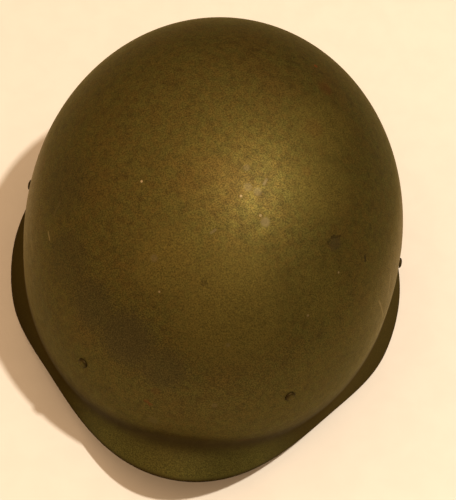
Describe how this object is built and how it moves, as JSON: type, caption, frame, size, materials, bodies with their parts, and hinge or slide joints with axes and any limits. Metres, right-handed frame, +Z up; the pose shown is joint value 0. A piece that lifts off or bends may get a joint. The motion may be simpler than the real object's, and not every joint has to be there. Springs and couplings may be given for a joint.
{
  "type": "steel helmet",
  "caption": "Pressed-steel combat helmet shell with a short sloping peak, flared rim and round-headed rivets, hollow for a head and resting on its rim.",
  "frame": {"origin": "on the surface that the rim rests on, under the middle of the helmet's length and width", "axes": "+Z up through the crown, -Y towards the peak at the front, +Y towards the nape, X across from side to side"},
  "size_m": [0.2448, 0.2818, 0.172],
  "materials": {
    "shell_paint": "satin olive green service paint, fine grain, small chips and scuffs",
    "rivet_paint": "the same olive paint over rivet heads and tails"
  },
  "bodies": {
    "root": {"shell": "shell_paint", "rivet_front_left": "rivet_paint", "rivet_front_right": "rivet_paint", "rivet_side_left": "rivet_paint", "rivet_side_right": "rivet_paint", "rivet_rear_left": "rivet_paint", "rivet_rear_right": "rivet_paint"}
  },
  "joints": []
}
